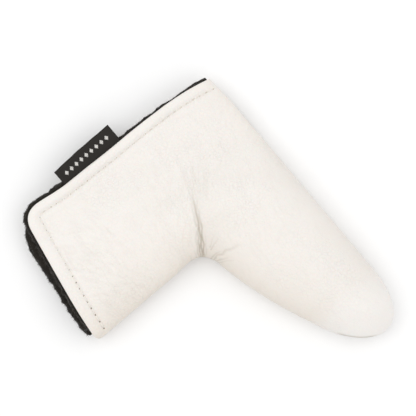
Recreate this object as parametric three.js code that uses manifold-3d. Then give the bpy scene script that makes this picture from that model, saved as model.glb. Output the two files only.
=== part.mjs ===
// Blade putter head cover: an L-shaped leather pocket with a fleece lining. Two leather panels and
// two lining panels are sewn inside out along the sole, the toe and the inner side of the neck.
// The heel side and the top of the neck stay open as one mouth, which magnets hold shut.
//
// Units are millimetres. The cover lies on its back panel: +X points to the heel and -X to the toe,
// +Y runs up the neck and +Z comes out of the front panel. The outline is drawn from the corner
// where the sole seam ends at the heel, and the finished cover is moved so that the origin is at
// the middle of its footprint, on the surface that it lies on.
import * as THREE from "three";
import { mergeVertices } from "three/addons/utils/BufferGeometryUtils.js";
import Module from "manifold-3d";

// ---- Driving dimensions: outline ----
const BLADE_LENGTH = 142; // heel corner to toe tip, along the sole
const BLADE_HEIGHT = 54.4; // sole to the crotch, where blade and neck meet
const TOE_LENGTH = 20; // toe tip back to the end of the blade's top edge
const TOE_HEIGHT = 35.7; // height of the blade where the toe starts to round off
const TOE_TIP_HEIGHT = 13.2; // how far the tip sits above the sole
const BLADE_BULGE = 4.6; // how far the blade's top edge bows out from a straight line
const NECK_WIDTH = 58.4; // heel corner to the neck's inner seam
const NECK_INNER_HEIGHT = 121.5; // sole to the mouth, on the inner seam
const NECK_HEEL_HEIGHT = 108.5; // sole to the mouth, on the heel side
const HEEL_FLARE = 9.3; // how far the mouth's heel corner stands out past the heel corner
const CROTCH_FILLET = 11; // length of the rounding on each side of the crotch
const MOUTH_CORNER = 9; // rounding of the mouth's heel corner
const SEAM_END_CORNER = 4; // rounding where the inner seam meets the mouth

// ---- Driving dimensions: fullness, measured from the plane of the seam ----
const BLADE_CROWN = 17; // front panel over the blade
const NECK_CROWN = 10.5; // front panel over the neck
const BACK_DEPTH = 10.5; // back panel, which lies flat on this plane
const FRONT_ROLL = 22; // width over which the front panel rolls down to the seam
const BACK_ROLL = 12; // the same on the back panel
const ROLL_POWER = 2.2; // 2 is an elliptical roll, more is squarer
const CLOSED_GAP = 0.8; // between the two linings where the magnets hold them together
const CLOSED_WIDTH = 28; // width of the strip along the heel that lies shut
const FRONT_SWELL = 20; // width over which the front panel swells up from that strip
const BACK_SWELL = 12; // the same on the back panel
const CROWN_FROM = 40; // height above the sole where the blade's crown starts to drop
const CROWN_TO = 82; // height above the sole where it has become the neck's crown

// ---- Driving dimensions: layers ----
const LEATHER = 1.2;
const LINING = 2.6; // fleece backing and pressed pile
const SEAM_GAP = 0.3; // between the two panels that a seam joins
const SEAM_ALLOWANCE = 4.8; // leather turned inside, past the wall
const HEM_WIDTH = 8; // leather folded back inside the mouth
const HEM_BITE = 0.95; // how deep the folded layer is joined into the panel
const LAYER_GAP = 0.2; // between pieces that lie on each other
const PIECE_GAP = 0.3; // between pieces that meet edge to edge
const LINING_REACH = 1.8; // how far the lining shows past the leather's edge
const BACK_REACH = 2.4; // how much further up the neck the back panel goes
const THREAD_RADIUS = 0.35;
const THREAD_SINK = 0.45; // surface of the leather to the middle of the topstitching
const GROOVE_RADIUS = 0.65; // channel that the topstitching lies in
const STITCH_MARGIN = 6; // leather's edge to the topstitching
const SEAM_STITCH_INSET = 3.4; // outline to the stitching of the hidden seam

// ---- Driving dimensions: magnets and label ----
const MAGNET_RADIUS = 6;
const MAGNET_THICKNESS = 1.4;
const MAGNET_CLEARANCE = 0.25;
const MAGNET_HEIGHTS = { lower: 69, upper: 89 }; // above the sole
const TAPE_WIDTH = 15;
const TAPE_MARGIN = 4; // tape past the edge of the end magnets
const TAPE_THICKNESS = 1.9;
const LABEL_LENGTH = 33.7;
const LABEL_MIDDLE = 67.5; // above the sole
const LABEL_SHOWS = 9; // leather's edge to the label's fold
const LABEL_TUCK = 5; // label held between leather and lining
const RIBBON = 0.3; // thickness of one layer of the folded ribbon
const RIBBON_GAP = 0.1; // between its two layers

// ---- Mesh density ----
const ACROSS = 12; // faces from the inner rail to the outer one
const ROWS = { corner: 3, neck: 7, crotch: 6, blade: 8, toe: 8 };
const SEAM_SAMPLES = 16; // points on each curve that distances are measured to
const BIG = 600; // larger than the cover, for cutting tools

// ---- Sizes that follow from those ----
const SEAM_FACE = SEAM_GAP / 2;
const LABEL_THICKNESS = 2 * RIBBON + RIBBON_GAP;
const LABEL_DEPTH = 2 * LEATHER + LAYER_GAP; // below the leather's outer face
const LINING_DEPTH = LABEL_DEPTH + LABEL_THICKNESS + LAYER_GAP;
const STACK = LINING_DEPTH + LINING; // all the layers of one side
const MOUTH_HALF = STACK + CLOSED_GAP / 2; // outer face to the seam's plane, where it lies shut
const LINING_INSET = LEATHER + SEAM_ALLOWANCE + PIECE_GAP; // outline to the lining's outer face
const POCKET_INSET = LINING_INSET + LINING;
const TAPE_EDGE = HEM_WIDTH + PIECE_GAP; // leather's edge to the magnet tape
const TAPE_DEPTH = LEATHER + LAYER_GAP;

const v2 = (x, y) => new THREE.Vector2(x, y);
const v3 = (x, y, z) => new THREE.Vector3(x, y, z);

// ---- Outline ----
// Two rails run from the mouth to the toe tip: the inner rail down the neck's inner seam, round the
// crotch and along the blade's top edge, and the outer rail down the heel side and along the sole.
const heelCorner = v2(0, 0);
const mouthHeel = v2(HEEL_FLARE, NECK_HEEL_HEIGHT);
const mouthInner = v2(-NECK_WIDTH, NECK_INNER_HEIGHT);
const crotch = v2(-NECK_WIDTH, BLADE_HEIGHT);
const toeTop = v2(TOE_LENGTH - BLADE_LENGTH, TOE_HEIGHT);
const toeTip = v2(-BLADE_LENGTH, TOE_TIP_HEIGHT);
const soleEnd = v2(TOE_LENGTH - BLADE_LENGTH + TOE_LENGTH * 0.2, 0);

const towards = (from, to, distance) => from.clone().add(to.clone().sub(from).setLength(distance));

const heelEdge = new THREE.SplineCurve([
  heelCorner,
  v2(HEEL_FLARE * 0.55, NECK_HEEL_HEIGHT * 0.24),
  v2(HEEL_FLARE * 0.68, NECK_HEEL_HEIGHT * 0.6),
  mouthHeel,
]);

// The blade's top edge bows out between the crotch and the toe.
function bladeTopEdge() {
  const chord = toeTop.clone().sub(crotch);
  const outward = v2(chord.y, -chord.x).normalize();
  const control = crotch.clone().add(toeTop).multiplyScalar(0.5).addScaledVector(outward, BLADE_BULGE);
  const start = towards(crotch, control, CROTCH_FILLET);
  return {
    fillet: new THREE.QuadraticBezierCurve(v2(crotch.x, crotch.y + CROTCH_FILLET), crotch, start),
    edge: new THREE.QuadraticBezierCurve(start, control, toeTop),
    heading: toeTop.clone().sub(control).normalize(),
  };
}
const bladeTop = bladeTopEdge();

const toeUpper = new THREE.CubicBezierCurve(
  toeTop,
  toeTop.clone().addScaledVector(bladeTop.heading, TOE_LENGTH * 0.48),
  v2(toeTip.x, toeTip.y + (TOE_HEIGHT - TOE_TIP_HEIGHT) * 0.42),
  toeTip,
);
const toeLower = new THREE.CubicBezierCurve(
  soleEnd,
  v2(soleEnd.x - TOE_LENGTH * 0.6, 0),
  v2(toeTip.x, toeTip.y * 0.38),
  toeTip,
);

// Points along a curve, moved sideways: positive distances go to the left of its direction.
function offsetPoints(curve, distance, count, from = 0, to = 1) {
  return Array.from({ length: count + 1 }, (_, i) => {
    const t = from + ((to - from) * i) / count;
    const tangent = curve.getTangent(t);
    return curve.getPoint(t).add(v2(-tangent.y, tangent.x).multiplyScalar(distance));
  });
}

// The parameter at which a curve that climbs in y passes a height.
function parameterAt(curve, height) {
  let low = 0;
  let high = 1;
  for (let i = 0; i < 40; i++) {
    const middle = (low + high) / 2;
    if (curve.getPoint(middle).y < height) low = middle;
    else high = middle;
  }
  return (low + high) / 2;
}

const mouthSlope = (mouthInner.y - mouthHeel.y) / (mouthInner.x - mouthHeel.x);
const mouthTop = (x) => mouthHeel.y + (x - mouthHeel.x) * mouthSlope;
const heelX = (y) => heelEdge.getPoint(parameterAt(heelEdge, y)).x;

// Both rails, inset from the seam, reaching past the leather's edge at the top of the neck and at
// the heel. Every inset gives the same number of points, so that two surfaces can be joined.
function rails(inset, reachTop = 0, reachHeel = 0) {
  const top = (x) => mouthTop(x) + reachTop;
  const innerX = inset - NECK_WIDTH;
  const round = Math.max(SEAM_END_CORNER - inset, 0.5);
  const innerCorner = new THREE.QuadraticBezierCurve(
    v2(innerX + round, top(innerX + round)),
    v2(innerX, top(innerX)),
    v2(innerX, top(innerX) - round),
  );
  const neckLine = new THREE.LineCurve(innerCorner.v2, v2(innerX, bladeTop.fillet.v0.y));
  const outerX = mouthHeel.x + reachHeel;
  const turnStart = v2(outerX - MOUTH_CORNER, top(outerX - MOUTH_CORNER));
  const turnHeight = mouthHeel.y - MOUTH_CORNER;
  const turnParameter = parameterAt(heelEdge, turnHeight);
  const turnEnd = heelEdge.getPoint(turnParameter).add(v2(reachHeel, 0));
  const heelTurn = new THREE.QuadraticBezierCurve(turnStart, v2(outerX, top(outerX)), turnEnd);
  const seamEnd = parameterAt(heelEdge, inset);
  const heelSide = offsetPoints(heelEdge, -reachHeel, ROWS.neck, turnParameter, seamEnd);
  heelSide[0] = turnEnd;
  heelSide[ROWS.neck].set(heelX(inset) + reachHeel, inset);
  const sole = new THREE.LineCurve(heelSide[ROWS.neck], v2(soleEnd.x, inset));
  const inner = [
    ...innerCorner.getPoints(ROWS.corner).slice(0, -1),
    ...neckLine.getPoints(ROWS.neck).slice(0, -1),
    ...offsetPoints(bladeTop.fillet, inset, ROWS.crotch).slice(0, -1),
    ...offsetPoints(bladeTop.edge, inset, ROWS.blade).slice(0, -1),
    ...offsetPoints(toeUpper, inset, ROWS.toe),
  ];
  const outer = [
    ...heelTurn.getPoints(ROWS.corner).slice(0, -1),
    ...heelSide.slice(0, -1),
    ...sole.getPoints(ROWS.crotch + ROWS.blade).slice(0, -1),
    ...offsetPoints(toeLower, -inset, ROWS.toe),
  ];
  return { inner, outer };
}

// ---- Fullness ----
// Seam curves as polylines, run on past their ends so that distances stay smooth there.
const seamCurves = (curves, before, after) => [
  before,
  ...curves.flatMap((curve) => curve.getPoints(SEAM_SAMPLES)),
  after,
];
const innerSeam = seamCurves(
  [bladeTop.fillet, bladeTop.edge, toeUpper],
  v2(-NECK_WIDTH, NECK_INNER_HEIGHT + BLADE_LENGTH),
  v2(toeTip.x, -BLADE_LENGTH),
);
const soleSeam = seamCurves([toeLower], v2(BLADE_LENGTH, 0), v2(toeTip.x, BLADE_LENGTH));

function distanceTo(polyline, x, y) {
  let nearest = Infinity;
  for (let i = 1; i < polyline.length; i++) {
    const a = polyline[i - 1];
    const dx = polyline[i].x - a.x;
    const dy = polyline[i].y - a.y;
    const length2 = dx * dx + dy * dy;
    if (length2 === 0) continue;
    const t = THREE.MathUtils.clamp(((x - a.x) * dx + (y - a.y) * dy) / length2, 0, 1);
    nearest = Math.min(nearest, Math.hypot(x - a.x - t * dx, y - a.y - t * dy));
  }
  return nearest;
}

function roll(distance, width) {
  const u = THREE.MathUtils.clamp(distance / width, 0, 1);
  return (1 - (1 - u) ** ROLL_POWER) ** (1 / ROLL_POWER);
}

const front = {
  sign: 1,
  rollWidth: FRONT_ROLL,
  swell: FRONT_SWELL,
  crown: (y) => THREE.MathUtils.lerp(
    BLADE_CROWN, NECK_CROWN, THREE.MathUtils.smoothstep(y, CROWN_FROM, CROWN_TO),
  ),
};
const back = { sign: -1, rollWidth: BACK_ROLL, swell: BACK_SWELL, crown: () => BACK_DEPTH };

// Distance from the seam's plane to the surface that lies `depth` under a side's outer face and
// `inset` inside the seam.
function fullness(side, x, y, inset, depth) {
  const fromHeel = heelX(THREE.MathUtils.clamp(y, 0, NECK_HEEL_HEIGHT)) - x;
  const open = THREE.MathUtils.smoothstep(fromHeel, CLOSED_WIDTH, CLOSED_WIDTH + side.swell);
  const full = THREE.MathUtils.lerp(MOUTH_HALF, side.crown(y), open) - depth;
  const rise =
    roll(distanceTo(innerSeam, x, y) - inset, side.rollWidth) *
    roll(distanceTo(soleSeam, x, y) - inset, side.rollWidth);
  return SEAM_FACE + (full - SEAM_FACE) * rise;
}

// ---- Solids ----
const wasm = await Module();
wasm.setup();

function solidOf(geometry) {
  const positions = new THREE.BufferGeometry();
  positions.setAttribute("position", geometry.getAttribute("position").clone());
  if (geometry.index) positions.setIndex(geometry.index.clone());
  const merged = mergeVertices(positions, 1e-4);
  return new wasm.Manifold(new wasm.Mesh({
    numProp: 3,
    vertProperties: new Float32Array(merged.getAttribute("position").array),
    triVerts: new Uint32Array(merged.index.array),
  }));
}

function geometryOf(solid) {
  const { vertProperties, triVerts } = solid.getMesh();
  const geometry = new THREE.BufferGeometry();
  geometry.setAttribute("position", new THREE.BufferAttribute(vertProperties, 3));
  geometry.setIndex(new THREE.BufferAttribute(triVerts, 1));
  geometry.computeVertexNormals();
  return geometry;
}

// A closed solid between two grids of points with the same rows and columns. Points that coincide,
// as at the toe tip, become one, and the faces that vanish there are left out. Grids given in the
// wrong order make a solid that is inside out, so they are swapped.
function solidBetween(upper, lower) {
  const positions = [];
  const seen = new Map();
  const indexOf = (p) => {
    const key = p.toArray().map((value) => value.toFixed(4)).join();
    if (!seen.has(key)) {
      seen.set(key, seen.size);
      positions.push(p.x, p.y, p.z);
    }
    return seen.get(key);
  };
  const faces = [];
  const quad = (a, b, c, d) => {
    for (const face of [[a, b, c], [a, c, d]]) {
      const [i, j, k] = face.map(indexOf);
      if (i !== j && j !== k && k !== i) faces.push(i, j, k);
    }
  };
  const rows = upper.length - 1;
  const columns = upper[0].length - 1;
  for (let r = 0; r < rows; r++)
    for (let c = 0; c < columns; c++) {
      quad(upper[r][c], upper[r + 1][c], upper[r + 1][c + 1], upper[r][c + 1]);
      quad(lower[r][c], lower[r][c + 1], lower[r + 1][c + 1], lower[r + 1][c]);
    }
  for (let r = 0; r < rows; r++) {
    quad(upper[r][0], lower[r][0], lower[r + 1][0], upper[r + 1][0]);
    quad(upper[r][columns], upper[r + 1][columns], lower[r + 1][columns], lower[r][columns]);
  }
  for (let c = 0; c < columns; c++) {
    quad(upper[0][c], upper[0][c + 1], lower[0][c + 1], lower[0][c]);
    quad(upper[rows][c], lower[rows][c], lower[rows][c + 1], upper[rows][c + 1]);
  }
  const geometry = new THREE.BufferGeometry();
  geometry.setAttribute("position", new THREE.Float32BufferAttribute(positions, 3));
  geometry.setIndex(faces);
  const solid = solidOf(geometry);
  return solid.volume() < 0 ? solidBetween(lower, upper) : solid;
}

// The grid of a surface between two rails. Rows run from the mouth to the toe, and points crowd
// towards the rails, where the surface rolls over.
function surface(side, inset, depth, reachTop, reachHeel) {
  const { inner, outer } = rails(inset, reachTop, reachHeel);
  return inner.map((start, row) =>
    Array.from({ length: ACROSS + 1 }, (_, column) => {
      const share = (1 - Math.cos((Math.PI * column) / ACROSS)) / 2;
      const { x, y } = start.clone().lerp(outer[row], share);
      return v3(x, y, side.sign * fullness(side, x, y, inset, depth));
    }),
  );
}

// A sheet of one side, from the surface at one depth to the surface at another.
function sheet(side, outside, inside, reachTop, reachHeel) {
  const outer = surface(side, outside.inset, outside.depth, reachTop, reachHeel);
  const inner = surface(side, inside.inset, inside.depth, reachTop, reachHeel);
  return solidBetween(outer, inner);
}

// The mouth's edge from the sole seam's end at the heel, round the corner, to the inner seam's end,
// moved inwards by a distance. It starts and ends `clear` away from the seams.
function mouthPath(inwards, clear, reachTop = 0) {
  const { inner, outer } = rails(Math.max(clear, 0.01), reachTop - inwards, -inwards);
  const heelPoints = outer.slice(0, ROWS.corner + ROWS.neck + 1).reverse();
  return [...heelPoints, ...linePoints(outer[0], inner[0], ROWS.blade).slice(1)];
}

const linePoints = (from, to, count) =>
  Array.from({ length: count + 1 }, (_, i) => from.clone().lerp(to, i / count));

// The leather folded back inside the mouth.
function hem(side, reachTop) {
  const stations = [0, HEM_WIDTH / 2, HEM_WIDTH].map((inwards) =>
    mouthPath(inwards, LINING_INSET, reachTop),
  );
  const layer = (depth) => stations.map((path) =>
    path.map(({ x, y }) => v3(x, y, side.sign * fullness(side, x, y, 0, depth))),
  );
  return solidBetween(layer(LEATHER - HEM_BITE), layer(2 * LEATHER));
}

// The leather turned inside along the seam: a flat strip beside the plane of the seam.
function seamAllowance(side) {
  const strip = (inset) => {
    const { inner, outer } = rails(inset);
    return [
      ...inner.slice(ROWS.corner + 2),
      ...outer.slice(ROWS.corner + ROWS.neck, -1).reverse(),
    ];
  };
  const edge = strip(LEATHER / 2);
  const fold = strip(LEATHER + SEAM_ALLOWANCE);
  const layer = (z) => [edge, fold].map((path) => path.map(({ x, y }) => v3(x, y, z)));
  return solidBetween(layer(side.sign * (SEAM_FACE + LEATHER)), layer(side.sign * SEAM_FACE));
}

function topstitch(side, reachTop) {
  return tube(topstitchPath(side, reachTop), THREAD_RADIUS);
}

function leatherPanel(side, reachTop) {
  const shell = sheet(
    side, { inset: 0, depth: 0 }, { inset: LEATHER, depth: LEATHER }, reachTop, 0,
  );
  const groove = tube(topstitchPath(side, reachTop), GROOVE_RADIUS);
  return shell.add(hem(side, reachTop)).add(seamAllowance(side)).subtract(groove);
}

function liningPanel(side, reachTop) {
  return sheet(
    side,
    { inset: LINING_INSET, depth: LINING_DEPTH },
    { inset: POCKET_INSET, depth: STACK },
    reachTop + LINING_REACH,
    LINING_REACH,
  );
}

// A tube along a path, with a small polygon for its section.
function tube(points, radius, sides = 6) {
  const section = new THREE.Shape(
    Array.from({ length: sides }, (_, i) =>
      v2(radius, 0).rotateAround(v2(0, 0), (2 * Math.PI * i) / sides),
    ),
  );
  const path = new THREE.CatmullRomCurve3(points, false, "centripetal");
  return solidOf(new THREE.ExtrudeGeometry(section, { extrudePath: path, steps: 2 * points.length }));
}

function topstitchPath(side, reachTop) {
  return mouthPath(STITCH_MARGIN, STITCH_MARGIN, reachTop).map(({ x, y }) =>
    v3(x, y, side.sign * fullness(side, x, y, 0, THREAD_SINK)),
  );
}

// Where the hidden seam is sewn: through both seam allowances, in a channel between the panels.
function seamThreadPath() {
  const { inner, outer } = rails(SEAM_STITCH_INSET);
  const height = SEAM_FACE + LEATHER + LAYER_GAP + THREAD_RADIUS;
  const run = [
    ...inner.slice(ROWS.corner + 3),
    ...outer.slice(ROWS.corner + ROWS.neck + 1, -1).reverse(),
  ];
  return run.map(({ x, y }) => v3(x, y, height));
}

// ---- Magnets, in round pockets of a tape that is sewn in beside the hem ----
const magnetX = (y) => heelX(y) - TAPE_EDGE - TAPE_WIDTH / 2;
const tapeSlant = Math.atan2(
  magnetX(MAGNET_HEIGHTS.lower) - magnetX(MAGNET_HEIGHTS.upper),
  MAGNET_HEIGHTS.upper - MAGNET_HEIGHTS.lower,
);

function placed(geometry, x, y, z, turn = 0) {
  return geometry.clone().rotateZ(turn).translate(x, y, z);
}

function disc(radius, thickness) {
  return new THREE.CylinderGeometry(radius, radius, thickness, 32).rotateX(Math.PI / 2);
}

// Heights of the tape and of the magnets in it, from the seam's plane, on the front side. The
// pockets open towards the lining.
const tapeOuter = MOUTH_HALF - TAPE_DEPTH;
const tapeMiddle = tapeOuter - TAPE_THICKNESS / 2;
const magnetMiddle = tapeOuter - TAPE_THICKNESS + MAGNET_THICKNESS / 2;

function magnetTape(side) {
  const heights = Object.values(MAGNET_HEIGHTS);
  const middle = (Math.min(...heights) + Math.max(...heights)) / 2;
  const length = Math.max(...heights) - Math.min(...heights) + 2 * (MAGNET_RADIUS + TAPE_MARGIN);
  const strip = new THREE.BoxGeometry(TAPE_WIDTH, length, TAPE_THICKNESS);
  const pocketDepth = MAGNET_THICKNESS + MAGNET_CLEARANCE;
  const pocket = disc(MAGNET_RADIUS + MAGNET_CLEARANCE, 2 * pocketDepth);
  const pocketZ = tapeOuter - TAPE_THICKNESS;
  const tape = solidOf(placed(strip, magnetX(middle), middle, side.sign * tapeMiddle, tapeSlant));
  return heights.reduce(
    (rest, y) => rest.subtract(solidOf(placed(pocket, magnetX(y), y, side.sign * pocketZ))),
    tape,
  );
}

function magnet(side, y) {
  return solidOf(placed(disc(MAGNET_RADIUS, MAGNET_THICKNESS), magnetX(y), y, side.sign * magnetMiddle));
}

// ---- Label: a ribbon folded double, its ends held between the front leather and the lining ----
function label() {
  const edge = heelX(LABEL_MIDDLE);
  const fold = edge + LABEL_SHOWS;
  const end = edge - LABEL_TUCK;
  const half = LABEL_THICKNESS / 2;
  const slot = RIBBON_GAP / 2;
  const section = new THREE.Shape()
    .moveTo(end, -half)
    .lineTo(fold - half, -half)
    .absarc(fold - half, 0, half, -Math.PI / 2, Math.PI / 2, false)
    .lineTo(end, half)
    .lineTo(end, slot)
    .lineTo(fold - half, slot)
    .lineTo(fold - half, -slot)
    .lineTo(end, -slot)
    .closePath();
  const ribbon = new THREE.ExtrudeGeometry(section, {
    depth: LABEL_LENGTH, bevelEnabled: false, curveSegments: 8,
  });
  ribbon.rotateX(Math.PI / 2);
  ribbon.translate(0, LABEL_MIDDLE + LABEL_LENGTH / 2, MOUTH_HALF - LABEL_DEPTH - half);
  return solidOf(ribbon);
}

// ---- The fold ----
// Opening the mouth folds the front panel along the straight line between the two seam ends. What
// lies on the mouth's side of that line is the flap, and the rest is the body.
const seamEndInner = v2(-NECK_WIDTH, mouthTop(-NECK_WIDTH));

// Everything on the mouth's side of the fold, `away` from the line (negative reaches past it).
function flapSide(away) {
  const along = seamEndInner.clone().sub(heelCorner);
  const middle = heelCorner.clone().add(seamEndInner).multiplyScalar(0.5);
  const towardsMouth = v2(along.y, -along.x).normalize();
  const centre = middle.addScaledVector(towardsMouth, BIG / 2 + away);
  const turn = Math.atan2(along.y, along.x);
  return solidOf(placed(new THREE.BoxGeometry(BIG, BIG, BIG), centre.x, centre.y, 0, turn));
}
const flapPart = (solid) => solid.intersect(flapSide(PIECE_GAP / 2));
const bodyPart = (solid) => solid.subtract(flapSide(-PIECE_GAP / 2));

// ---- Materials ----
const material = (color, roughness, metalness = 0) =>
  new THREE.MeshStandardMaterial({ color, roughness, metalness });
const whiteLeather = material(0xf2eee8, 0.55);
const blackFleece = material(0x1e1b19, 0.95);
const ivoryThread = material(0xe9e1d4, 0.7);
const blackRibbon = material(0x26231f, 0.8);
const greyTape = material(0x8a8a88, 0.9);
const nickel = material(0xc9c9c6, 0.25, 1);

// ---- Assembly ----
const cover = new THREE.Group();

function add(name, solid, finish) {
  const mesh = new THREE.Mesh(geometryOf(solid), finish);
  mesh.name = name;
  cover.add(mesh);
}

const frontLeather = leatherPanel(front, 0);
const frontLining = liningPanel(front, 0);
add("back_leather_panel", leatherPanel(back, BACK_REACH), whiteLeather);
add("front_leather_body", bodyPart(frontLeather), whiteLeather);
add("front_leather_flap", flapPart(frontLeather), whiteLeather);
add("back_fleece_lining", liningPanel(back, BACK_REACH), blackFleece);
add("front_fleece_lining_body", bodyPart(frontLining), blackFleece);
add("front_fleece_lining_flap", flapPart(frontLining), blackFleece);
add("seam_thread", tube(seamThreadPath(), THREAD_RADIUS), ivoryThread);
add("back_topstitch_thread", topstitch(back, BACK_REACH), ivoryThread);
add("front_topstitch_thread", flapPart(topstitch(front, 0)), ivoryThread);
add("woven_label", label(), blackRibbon);
for (const [sideName, side] of Object.entries({ front, back })) {
  add(`${sideName}_magnet_tape`, magnetTape(side), greyTape);
  for (const [place, y] of Object.entries(MAGNET_HEIGHTS))
    add(`${sideName}_magnet_${place}`, magnet(side, y), nickel);
}

// The origin goes to the middle of the footprint, on the plane that the back panel lies on.
const box = new THREE.Box3().setFromObject(cover);
const centre = box.getCenter(v3(0, 0, 0));
cover.position.set(-centre.x, -centre.y, -box.min.z);

export default cover;
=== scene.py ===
"""Blade putter head cover: white pebbled leather over black fleece, lying on its back panel.

Lengths are in millimetres and measured from the corner where the sole seam ends at the heel, with
z measured from the plane of the seam, as the model was designed. `to_frame` turns them into the
frame's metres. The panels follow the same outline and fullness as the frame's solids.
"""
import math
import bpy
import numpy as np
from mathutils import Matrix, Vector


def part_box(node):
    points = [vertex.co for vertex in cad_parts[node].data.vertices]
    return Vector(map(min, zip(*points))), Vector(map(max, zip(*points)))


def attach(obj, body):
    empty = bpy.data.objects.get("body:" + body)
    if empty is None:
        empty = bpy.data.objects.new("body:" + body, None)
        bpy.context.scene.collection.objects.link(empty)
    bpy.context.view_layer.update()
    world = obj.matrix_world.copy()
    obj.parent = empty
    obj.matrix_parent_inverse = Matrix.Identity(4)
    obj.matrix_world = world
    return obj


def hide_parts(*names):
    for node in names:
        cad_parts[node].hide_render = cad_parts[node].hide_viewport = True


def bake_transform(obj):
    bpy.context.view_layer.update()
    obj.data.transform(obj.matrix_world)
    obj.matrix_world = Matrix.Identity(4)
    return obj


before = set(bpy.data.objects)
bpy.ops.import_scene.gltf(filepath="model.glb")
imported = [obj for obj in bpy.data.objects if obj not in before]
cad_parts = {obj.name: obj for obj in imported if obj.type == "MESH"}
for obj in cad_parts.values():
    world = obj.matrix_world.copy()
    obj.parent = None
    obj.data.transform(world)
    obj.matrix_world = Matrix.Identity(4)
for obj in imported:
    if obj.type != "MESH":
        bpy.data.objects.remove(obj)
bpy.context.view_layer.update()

smoothstep = lambda v, a, b: (lambda t: t * t * (3 - 2 * t))(np.clip((v - a) / (b - a), 0, 1))
lerp = lambda a, b, t: a + (b - a) * t
unit = lambda v: v / np.maximum(np.linalg.norm(v, axis=-1, keepdims=True), 1e-9)
to_left = lambda v: np.stack([-v[..., 1], v[..., 0]], -1)

# ---- Outline and fullness, as in the frame's solids ----
BLADE_LENGTH, BLADE_HEIGHT, BLADE_BULGE = 142, 54.4, 4.6
TOE_LENGTH, TOE_HEIGHT, TOE_TIP_HEIGHT = 20, 35.7, 13.2
NECK_WIDTH, NECK_INNER_HEIGHT, NECK_HEEL_HEIGHT = 58.4, 121.5, 108.5
HEEL_FLARE, CROTCH_FILLET, MOUTH_CORNER, SEAM_END_CORNER = 9.3, 11, 9, 4
BLADE_CROWN, NECK_CROWN, BACK_DEPTH = 17, 10.5, 10.5
CROWN_FROM, CROWN_TO = 40, 82
ROLL_POWER = 2.2
MOUTH_HALF = 6.5
LEATHER, LINING, LINING_DEPTH = 1.2, 2.6, 3.5  # thickness of each, and how deep the lining lies
SEAM_GAP = 0.02  # half the gap between the two panels where they are sewn together
LINING_INSET, SEAM_ALLOWANCE, SEAM_FACE = 6.3, 4.8, 0.15
HEM_WIDTH, LINING_REACH, BACK_REACH = 8, 1.8, 2.4
LABEL_LENGTH, LABEL_MIDDLE, LABEL_SHOWS, LABEL_TUCK, LABEL_DEPTH = 33.7, 67.5, 9, 5, 2.6
LABEL_THICKNESS = 0.7
HEM_STITCH_HEEL, HEM_STITCH_TOP = 5.2, 6.5  # leather's edge to the stitching
STITCH_PITCH = 3.5

# "closed" is the width along the heel that lies shut, and "swell" the width over which it fills out.
FRONT = {"sign": 1, "roll": 22, "closed": 23, "swell": 34, "reach": 0, "corner": MOUTH_CORNER}
BACK = {"sign": -1, "roll": 12, "closed": 28, "swell": 12, "reach": BACK_REACH, "corner": 18}

# The heel corner's place in the frame, in millimetres.
toe_sole_corner = np.array(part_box("front_leather_body")[0]) * 1000
CORNER = toe_sole_corner + (BLADE_LENGTH, 0, -SEAM_FACE)


def to_frame(points):
    return (np.asarray(points, float) + CORNER) / 1000


def along(*stops):
    """A smooth value of one coordinate, given as (place, value) stops."""
    place, value = np.array(stops, float).T
    fine = np.linspace(place[0], place[-1], 400)
    rough = np.interp(fine, place, value)
    kernel = np.hanning(25)
    smooth = np.convolve(np.pad(rough, 12, mode="edge"), kernel / kernel.sum(), mode="valid")
    return lambda v: np.interp(v, fine, smooth)


# In use the cover has settled slightly off its drawn outline. Each entry is (place, shift).
HEEL_SETTLE = along((0, 1.05), (6, 1.0), (12, 0.75), (20, 0.2), (30, -0.2), (45, 0), (70, -0.15),
                    (85, -0.85), (91, -0.6), (98, 0), (125, 0))
MOUTH_SETTLE = along((-70, -1.1), (-54, -1.0), (-47, -0.65), (-36, -0.25), (-20, 0), (20, 0))
# How far the fleece shows past the leather along the heel, and past the drawn mouth over the neck.
HEEL_SHOWS = along((0, -0.5), (7, -0.6), (12, -0.2), (18, 0.35), (26, 1.0), (40, 1.05), (50, 1.4),
                   (70, 1.9), (85, 2.3), (92, 2.1), (100, 1.9), (125, 1.9))
BACK_SHOWS = along((-62, 0.0), (-55, 0.8), (-52.5, 2.3), (-48, 3.8), (-40, 4.2), (-30, 4.3),
                   (-20, 4.6), (-10, 5.5), (-4, 5.5), (2, 4.8), (20, 4.6))
FRONT_SHOWS = along((-62, 0.0), (-54, 0.5), (-50, 1.2), (-44, 1.7), (20, 1.8))


def settled(points):
    """Moves points, all layers alike, from the drawn outline to the settled one."""
    points = np.array(points, float)
    x, y = points[:, 0].copy(), points[:, 1].copy()
    from_heel = heel_x(np.clip(y, 0, NECK_HEEL_HEIGHT)) - x
    neck = smoothstep(y, 58, 74) * smoothstep(x, -44, -58)
    toe = smoothstep(x, -112, -142)
    sole = smoothstep(y, 18, 0) * smoothstep(x, 0, -16)
    points[:, 0] += HEEL_SETTLE(y) * smoothstep(from_heel, 14, 2) - 0.8 * neck - 1.2 * toe
    points[:, 1] += MOUTH_SETTLE(x) * smoothstep(mouth_top(x) - y, 14, 2) - 0.9 * sole
    return points


# ---- Curves ----
def bezier(*control):
    control = [np.array(p, float) for p in control]
    degree = len(control) - 1

    def at(t):
        t = np.asarray(t, float)[..., None]
        return sum(
            math.comb(degree, i) * (1 - t) ** (degree - i) * t**i * p for i, p in enumerate(control)
        )
    return at


def spline(*points):
    """A uniform Catmull-Rom curve with its end points doubled."""
    p = np.array([points[0], *points, points[-1]], float)
    spans = len(points) - 1

    def at(t):
        s = np.clip(np.asarray(t, float), 0, 1) * spans
        i = np.minimum(s.astype(int), spans - 1)
        u = (s - i)[..., None]
        a, b, c, d = p[i], p[i + 1], p[i + 2], p[i + 3]
        return 0.5 * (2 * b + (c - a) * u + (2 * a - 5 * b + 4 * c - d) * u**2
                      + (3 * b - a - 3 * c + d) * u**3)
    return at


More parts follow.
